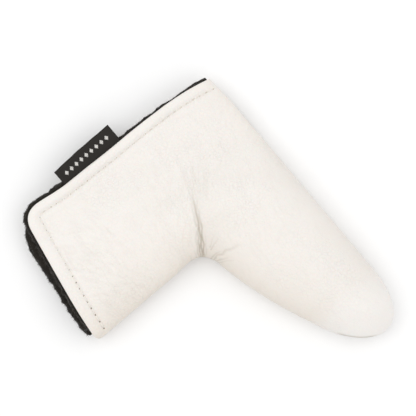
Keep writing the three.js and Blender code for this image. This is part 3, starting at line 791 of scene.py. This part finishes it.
def topstitch(name, side, thread, hole_material):
    """Two-ply stitches that dive into needle holes at each end."""
    line, s = STITCH_LINES[side["sign"]]
    count = int(s[-1] // STITCH_PITCH)
    sample = lambda at: place_on(line, s, at)
    stitches, holes, shades = Batch(), Batch(), []
    for k in range(count):
        hidden = 0.3 if on_heel(side, sample(np.array([k + 0.5]) * STITCH_PITCH)[0]) else 0.1
        at = np.linspace(k + hidden, k + 1 - hidden, 11) * STITCH_PITCH
        xy = sample(at)
        z = leather_height(side, xy)[0]
        t = np.linspace(-1, 1, 11)
        z = z.mean() * 0.4 + z * 0.6 + 0.2 - 0.42 * t**4
        across = directions(xy)[1]
        for phase in (0, math.pi):
            turn = t * 3.4 + phase
            p = xy + across * (0.13 * np.cos(turn))[:, None]
            pz = z + 0.13 * np.sin(turn)
            radius = 0.19 * (1 - 0.35 * t**6)
            stitches.add(*tube(np.column_stack([p, side["sign"] * pz]), radius))
    # Each needle hole is a flat disc of painted shade, tan along the heel and dark brown over the neck.
    for k in range(count + 1):
        c, ahead = sample(np.array([k, k + 0.01]) * STITCH_PITCH)
        d = unit(ahead - c)
        # Along the heel the needle's cuts lie lengthwise. Over the neck they are round.
        long, wide = (1.2, 0.25) if on_heel(side, c) else (0.4, 0.36)
        shades += [0.0 if on_heel(side, c) else 1.0] * 13
        size = 1 + 0.18 * math.sin(k * 12.9)
        ring = np.arange(12) * 2 * math.pi / 12
        xy = c + size * (long * np.cos(ring)[:, None] * d + wide * np.sin(ring)[:, None] * to_left(d))
        z = leather_height(side, np.vstack([xy, c]))[0] + 0.03
        p = np.column_stack([np.vstack([xy, c]), side["sign"] * z])
        f = [[i, (i + 1) % 12, 12] if side["sign"] > 0 else [(i + 1) % 12, i, 12] for i in range(12)]
        holes.add(p, f)
    return stitches.build(name, thread), holes.build(name + "_holes", hole_material, {"depth": shades})


def fleece_pile(name, side, edge_line, material, per_mm=26):
    """Short tufts that stand out of the lining's edge at the mouth."""
    r = np.random.default_rng(40 + side["sign"])
    line, s = resampled(edge_line, 0.25)
    tangent, left = directions(line)
    outward = -left
    n = int(s[-1] * per_mm)
    i = r.integers(4, len(line) - 4, n)
    around = r.uniform(-0.9, 1.15, n) * math.pi / 2  # from the outer face over the edge to the inside
    half = LINING / 2
    mid_depth = LINING_DEPTH + half
    inward = half * (1 - np.cos(around))
    inward += np.where(np.abs(around) > math.pi / 2 * 0.8, r.uniform(0, 3.6, n), 0)
    xy = line[i] - outward[i] * inward[:, None] + r.normal(0, 0.08, (n, 2))
    z = fullness(side, xy, LINING_INSET, mid_depth) + half * np.sin(around) * 0.92
    z = np.maximum(z, SEAM_FACE + 0.1)
    keep = fullness(side, xy, 0, 0) > 4.2
    clump = Waves(2.2, 20, seed=50 + side["sign"])(xy) * 0.22
    over_neck = smoothstep(xy[:, 1], 88, 112)
    length = np.clip(r.normal(0.75, 0.22, n) * (1 + clump), 0.25, 1.25) * lerp(0.5, 1.0, over_neck)
    direction = np.column_stack([
        outward[i] * np.cos(around)[:, None] + tangent[i] * r.normal(0.15, 0.35, (n, 1)),
        side["sign"] * np.sin(around) * 0.8 + r.normal(0, 0.2, n),
    ])
    direction[:, :2] += r.normal(0, 0.3, (n, 2))
    direction = unit(direction)
    base = np.column_stack([xy, side["sign"] * z])
    u = unit(np.cross(direction, [0.3, 0.2, 0.93]))
    v = np.cross(direction, u)
    width = r.uniform(0.05, 0.1, (n, 1))
    points = [base - direction * 0.25 + width * (math.cos(a) * u + math.sin(a) * v)
              for a in np.arange(3) * 2 * math.pi / 3]
    bend = base + direction * length[:, None]
    bend[:, 2] -= side["sign"] * 0.12 * length
    points.append(bend)
    stack = np.stack(points, 1)[keep]
    first = np.arange(len(stack))[:, None] * 4
    faces = np.concatenate([first + corners for corners in ((0, 1, 3), (1, 2, 3), (2, 0, 3))])
    return new_object(name, stack.reshape(-1, 3), faces, material, smooth=False)


# ---- Label ----
def label_height(x, y):
    """The ribbon's middle height. It bows more and more towards its fold."""
    held = heel_x(LABEL_MIDDLE) - LABEL_TUCK + 1
    towards_fold = (x - held) / (LABEL_TUCK - 1 + LABEL_SHOWS)
    bow = 0.25 * np.sin((y - LABEL_MIDDLE) / LABEL_LENGTH * 5 + 0.7) + 0.35
    return MOUTH_HALF - LABEL_DEPTH - LABEL_THICKNESS / 2 + bow * towards_fold**2


def woven_label(name, material):
    """A ribbon folded double, slightly bowed, with its fold at the outer edge."""
    edge = float(heel_x(LABEL_MIDDLE))
    inner, fold = edge - LABEL_TUCK + 1, edge + LABEL_SHOWS
    half = LABEL_THICKNESS / 2
    across = np.linspace(inner, fold - half, 26)
    turn = [(fold - half + half * math.sin(a), half * math.cos(a)) for a in np.linspace(0, math.pi, 13)]
    section = [(x, half) for x in across[:-1]] + turn + [(x, -half) for x in across[-2::-1]]
    section = np.array(section)
    points = []
    for y in np.linspace(-LABEL_LENGTH / 2, LABEL_LENGTH / 2, 70):
        end = 1 - 0.12 * math.exp(-((LABEL_LENGTH / 2 - abs(y)) / 0.25) ** 2)
        z = label_height(section[:, 0], LABEL_MIDDLE + y) + section[:, 1] * end
        x = section[:, 0] + 0.05 * math.sin(y * 0.7)
        points.append(np.column_stack([x, np.full(len(section), LABEL_MIDDLE + y), z]))
    points = np.array(points)
    rows, columns = points.shape[:2]
    faces = [list(q) for q in grid_faces(rows, columns, flip=True)]
    for r, flip in ((0, False), (rows - 1, True)):
        for c in range((columns - 2) // 2):
            o = columns - 1 - c
            q = [r * columns + c, r * columns + c + 1, r * columns + o - 1, r * columns + o]
            faces.append(q[::-1] if flip else q)
    return new_object(name, points.reshape(-1, 3), faces, material)


def label_motif(name, material):
    """A plain row of lozenges, each laid in parallel threads."""
    middle = float(heel_x(LABEL_MIDDLE)) + LABEL_SHOWS * 0.52
    batch = Batch()
    count, step = 9, 3.1
    for k in range(count):
        centre = LABEL_MIDDLE + (k - (count - 1) / 2) * step
        for j in range(-5, 6):
            half, y = 1.25 * (1 - abs(j) / 6), centre + j * 0.17
            thread = [(x, y, label_height(x, y) + LABEL_THICKNESS / 2 + 0.03)
                      for x in np.linspace(middle - half, middle + half, 4)]
            batch.add(*tube(thread, 0.085, 5))
    return batch.build(name, material)


# ---- Materials ----
class Shade:
    """A short way to lay out shader nodes. Sockets are given by name or by place."""

    def __init__(self, name):
        self.material = bpy.data.materials.new(name)
        self.material.use_nodes = True
        self.tree = self.material.node_tree
        self.where = self.add("ShaderNodeTexCoord").outputs["Object"]

    def add(self, kind, sockets=None, **settings):
        node = self.tree.nodes.new(kind)
        for key, value in settings.items():
            setattr(node, key, value)
        self.feed(node, sockets or {})
        return node

    def feed(self, node, sockets):
        """Sets each socket to a number or a colour, or links another node's output to it."""
        for key, value in sockets.items():
            socket = node.inputs[key]
            if isinstance(value, bpy.types.NodeSocket):
                self.tree.links.new(value, socket)
            else:
                socket.default_value = (*value, 1) if socket.type == "RGBA" else value

    def noise(self, scale, detail=4.0, roughness=0.55, vector=None):
        sockets = {"Vector": vector or self.where, "Scale": scale, "Detail": detail, "Roughness": roughness}
        return self.add("ShaderNodeTexNoise", sockets).outputs["Fac"]

    def scaled(self, scale):
        return self.add("ShaderNodeMapping", {"Vector": self.where, "Scale": scale}).outputs["Vector"]

    def drawn_out(self, length, turn):
        """Coordinates that draw a texture out along the direction `turn`, in degrees."""
        sockets = {"Vector": self.where, "Scale": (length, 1, 1), "Rotation": (0, 0, math.radians(turn))}
        return self.add("ShaderNodeMapping", sockets, vector_type="TEXTURE").outputs["Vector"]

    def ramp(self, value, first, last):
        """A colour that runs between two stops, each a place and a colour."""
        node = self.add("ShaderNodeValToRGB", {"Fac": value})
        for element, (place, colour) in zip(node.color_ramp.elements, (first, last)):
            element.position = place
            element.color = (*colour, 1)
        return node.outputs["Color"]

    def math(self, operation, *values, clamp=False):
        node = self.add("ShaderNodeMath", dict(enumerate(values)), operation=operation, use_clamp=clamp)
        return node.outputs[0]

    def mix(self, factor, a, b):
        """A mix of two colours, whose sockets are at places 6 and 7 and its result at place 2."""
        return self.add("ShaderNodeMix", {0: factor, 6: a, 7: b}, data_type="RGBA").outputs[2]

    def bump(self, height, strength, distance, previous=None):
        node = self.add("ShaderNodeBump", {"Height": height, "Strength": strength, "Distance": distance})
        if previous:
            self.feed(node, {"Normal": previous})
        return node.outputs["Normal"]

    def attribute(self, name):
        return self.add("ShaderNodeAttribute", attribute_name=name).outputs["Fac"]

    def finish(self, colour, roughness, normal=None, **constants):
        shader = self.tree.nodes["Principled BSDF"]
        self.feed(shader, {"Base Color": colour, "Roughness": roughness})
        if normal:
            self.feed(shader, {"Normal": normal})
        self.feed(shader, {key.replace("_", " "): value for key, value in constants.items()})
        return self.material


def leather_material():
    s = Shade("white_pebbled_leather")
    wobble = s.add("ShaderNodeVectorMath", {0: s.noise(420, 3), 1: (0.0014, 0.0014, 0.0014), 2: s.where},
                   operation="MULTIPLY_ADD").outputs[0]
    cells = s.add("ShaderNodeTexVoronoi", {"Vector": wobble, "Scale": 560.0, "Randomness": 1.0},
                  feature="DISTANCE_TO_EDGE").outputs["Distance"]
    pebble = s.math("MINIMUM", s.math("MULTIPLY", cells, 4.0), 1.0)
    fine = s.noise(2600, 5, 0.65)
    # Fine wrinkles run across the neck and along the blade. Both they and the pebble come and go.
    place = s.add("ShaderNodeSeparateXYZ", {0: s.where})
    on_neck = s.math("MULTIPLY_ADD", place.outputs["Y"], 40.0, 0.9, clamp=True)
    wrinkle = s.mix(on_neck, *(s.noise(700, 3, 0.5, s.drawn_out(2.0, turn)) for turn in (-6, 30)))
    streak = s.math("MULTIPLY", s.math("ABSOLUTE", s.math("SUBTRACT", wrinkle, 0.5)), 7.0, clamp=True)
    region = s.math("MULTIPLY_ADD", s.noise(32, 2, 0.5), 1.6, -0.35, clamp=True)
    normal = s.bump(s.math("MULTIPLY", pebble, region), 0.65, 0.0003)
    normal = s.bump(s.math("MULTIPLY", streak, region), 0.12, 0.0003, normal)
    normal = s.bump(fine, 0.05, 0.0001, normal)
    colour = s.ramp(s.noise(70, 4, 0.6), (0.3, (0.796, 0.760, 0.721)), (0.62, (0.812, 0.780, 0.744)))
    colour = s.mix(s.math("MULTIPLY", s.math("SUBTRACT", 1.0, pebble), 0.06), colour, (0.70, 0.655, 0.60))
    painted_seam_shade_toe_light, fold = s.attribute("painted_seam_shade_toe_light"), s.attribute("fold")
    # Painted shade near the seams, warmer and darker, and painted light at the toe, paler.
    colour = s.mix(s.math("MULTIPLY", painted_seam_shade_toe_light, 0.68, clamp=True), colour, (0.74, 0.67, 0.585))
    colour = s.mix(s.math("MULTIPLY", painted_seam_shade_toe_light, -1.0, clamp=True), colour, (0.848, 0.818, 0.785))
    # Painted shade in the creases and along the toe's seam.
    colour = s.mix(s.math("MULTIPLY", fold, 0.8), colour, (0.42, 0.372, 0.295))
    return s.finish(colour, s.math("MULTIPLY_ADD", fine, 0.16, 0.44), normal, Specular_IOR_Level=0.42,
                    Subsurface_Weight=0.04, Subsurface_Scale=0.002)


def fleece_material(name, light):
    s = Shade(name)
    clumps = s.noise(330, 4, 0.6)
    # light scales the colour; above 1 it paints highlights.
    tint = lambda level, red, green, blue: tuple(level * light * c for c in (red, green, blue))
    colour = s.ramp(clumps, (0.3, tint(0.0085, 1.15, 0.93, 0.68)), (0.7, tint(0.022, 1.15, 0.94, 0.70)))
    normal = s.bump(s.noise(1500, 6, 0.7), 0.8, 0.0005, s.bump(clumps, 0.7, 0.0012))
    return s.finish(colour, 0.95, normal, Specular_IOR_Level=0.2, Sheen_Weight=0.25, Sheen_Roughness=0.5)


def thread_material(name, light, dark, size=1400):
    s = Shade(name)
    fibre = s.noise(size, 4, 0.6, s.scaled((1, 3, 3)))
    colour = s.ramp(fibre, (0.3, dark), (0.7, light))
    return s.finish(colour, 0.62, s.bump(fibre, 0.3, 0.0001), Specular_IOR_Level=0.35, Sheen_Weight=0.1)


def hole_material():
    # A needle hole's colour is painted shade: the lighter tan along the heel, the dark brown over the neck.
    s = Shade("needle_hole")
    deep = s.ramp(s.noise(1800, 3), (0.3, (0.20, 0.165, 0.125)), (0.7, (0.30, 0.25, 0.195)))
    return s.finish(s.mix(s.attribute("depth"), (0.50, 0.43, 0.335), deep), 0.9)


def ribbon_material():
    s = Shade("woven_ribbon")
    warp, weft = (
        s.add("ShaderNodeTexWave", {"Vector": s.where, "Scale": scale, "Distortion": 0.6},
              wave_type="BANDS", bands_direction=direction).outputs["Fac"]
        for direction, scale in (("Y", 700.0), ("X", 520.0))
    )
    weave = s.math("MULTIPLY", warp, weft)
    colour = s.ramp(s.math("ADD", weave, s.math("MULTIPLY", s.noise(300, 4), 0.4)),
                    (0.15, (0.0076, 0.0060, 0.0046)), (0.95, (0.0215, 0.0170, 0.0130)))
    return s.finish(colour, 0.72, s.bump(weave, 0.5, 0.00012), Specular_IOR_Level=0.3, Sheen_Weight=0.15)


def nickel_material():
    s = Shade("nickel_plate")
    scratches = s.noise(900, 5, 0.6, s.scaled((8, 1, 1)))
    colour = s.ramp(scratches, (0.3, (0.50, 0.49, 0.46)), (0.7, (0.62, 0.61, 0.58)))
    roughness = s.math("MULTIPLY_ADD", scratches, 0.2, 0.5)
    return s.finish(colour, roughness, s.bump(scratches, 0.1, 0.00005), Metallic=1.0)


# ---- Pieces ----
leather, fleece = leather_material(), fleece_material("black_fleece", 1.0)
# The pile's fleece is a 2.6 times lighter copy: painted highlights on the tufts.
pile_fleece = fleece_material("black_fleece_pile", 2.6)
cream_thread = thread_material("cream_thread", (0.87, 0.84, 0.795), (0.77, 0.725, 0.66))
white_thread = thread_material("white_motif_thread", (0.80, 0.79, 0.76), (0.62, 0.60, 0.57))
needle_hole, ribbon = hole_material(), ribbon_material()
tape = thread_material("grey_tape", (0.26, 0.26, 0.255), (0.16, 0.16, 0.155), 900)
nickel = nickel_material()

fine_rows, fine_across = ((FINE, 170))
front_leather = leather_panel("front_leather", FRONT, fine_rows, fine_across, leather)
back_leather = leather_panel("back_leather", BACK, FINE, 110, leather)
front_lining, front_rim = lining_panel("front_lining", FRONT, PLAIN, 80, fleece)
back_lining, back_rim = lining_panel("back_lining", BACK, PLAIN, 80, fleece)
front_pile = fleece_pile("front_lining_pile", FRONT, front_rim, pile_fleece)
back_pile = fleece_pile("back_lining_pile", BACK, back_rim, pile_fleece)
front_stitches, front_holes = topstitch("front_topstitch", FRONT, cream_thread, needle_hole)
back_stitches, back_holes = topstitch("back_topstitch", BACK, cream_thread, needle_hole)
label = woven_label("side_label", ribbon)
motif = label_motif("side_label_motif", white_thread)

for piece, nodes, slot in (
    (front_leather, ("front_leather_body", "front_leather_flap"), "leather"),
    (back_leather, ("back_leather_panel",), "leather"),
    (front_lining, ("front_fleece_lining_body", "front_fleece_lining_flap"), "fleece"),
    (back_lining, ("back_fleece_lining",), "fleece"),
    (front_stitches, ("front_topstitch_thread",), "thread"),
    (back_stitches, ("back_topstitch_thread",), "thread"),
    (label, ("woven_label",), "ribbon"),
    (front_pile, (), "fleece"), (back_pile, (), "fleece"),
    (front_holes, (), "leather"), (back_holes, (), "leather"),
    (motif, (), "thread"),
):
    if nodes:
        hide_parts(*nodes)

# Pieces from the CAD that stay as they are.
kept = {"seam_thread": cream_thread}
for face in ("front", "back"):
    kept |= {f"{face}_magnet_tape": tape, f"{face}_magnet_lower": nickel, f"{face}_magnet_upper": nickel}
for name, material in kept.items():
    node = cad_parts[name]
    node.data.materials.clear()
    node.data.materials.append(material)

# The front panel's pieces are baked in place. The label and its motif go with the flap, and the back's
# pieces with the cover.
for piece in (front_leather, front_lining, front_pile, front_stitches, front_holes):
    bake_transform(piece)
for piece in (label, motif):
    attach(piece, "flap")
for piece in (back_leather, back_lining, back_pile, back_stitches, back_holes):
    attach(piece, "cover")

# ---- Camera, floor and light ----
CAMERA_UP = Vector((0.763, -0.647, 0)).normalized()
FRAME_WIDTH, FRAME_MIDDLE, CAMERA_HEIGHT = 195.5, (-44.97, 39.99, 4.0), 1.6

target = Vector(to_frame(FRAME_MIDDLE))
back_axis = Vector((0, 0, 1))
right = CAMERA_UP.cross(back_axis)
camera_data = bpy.data.cameras.new("camera")
camera = linked("camera", camera_data)
camera.matrix_world = Matrix.Translation(target + back_axis * CAMERA_HEIGHT) @ Matrix(
    (right, CAMERA_UP, back_axis)).transposed().to_4x4()
camera_data.sensor_width = 36
camera_data.lens = 36 * CAMERA_HEIGHT * 1000 / FRAME_WIDTH
bpy.context.scene.camera = camera


def area_light(name, place, aim, size, power, colour=(1, 1, 1)):
    data = bpy.data.lights.new(name, "AREA")
    data.shape, data.size, data.energy, data.color = "DISK", size, power, colour
    light = linked(name, data)
    light.location = place
    light.rotation_euler = (Vector(aim) - Vector(place)).to_track_quat("-Z", "Y").to_euler()


def floor_material():
    s = Shade("pale_floor")
    colour = s.ramp(s.noise(3, 2), (0.0, (0.915, 0.915, 0.915)), (1.0, (0.93, 0.93, 0.93)))
    return s.finish(colour, 0.9, Specular_IOR_Level=0.1)


FLOOR_REACH = 3.0
floor_mesh = bpy.data.meshes.new("floor")
corners = [(x * FLOOR_REACH, y * FLOOR_REACH, 0) for x, y in ((-1, -1), (1, -1), (1, 1), (-1, 1))]
floor_mesh.from_pydata(corners, [], [(0, 1, 2, 3)])
floor_mesh.materials.append(floor_material())
floor = linked("floor", floor_mesh)

world = bpy.data.worlds.new("studio")
bpy.context.scene.world = world
world.use_nodes = True
background = world.node_tree.nodes["Background"]
background.inputs["Color"].default_value = (1, 1, 1, 1)
background.inputs["Strength"].default_value = 0.86
key_place = right * -0.5 + CAMERA_UP * 0.2
fill_place = right * 0.4 + CAMERA_UP * 0.1
area_light("key", (key_place.x, key_place.y, 1.2), (0, 0, 0), 1.2, 4.2, (1.0, 0.995, 0.985))
area_light("fill", (fill_place.x, fill_place.y, 1.25), (0, 0, 0), 1.3, 2.45)
bpy.context.scene.view_settings.view_transform = "Standard"

bpy.context.view_layer.update()
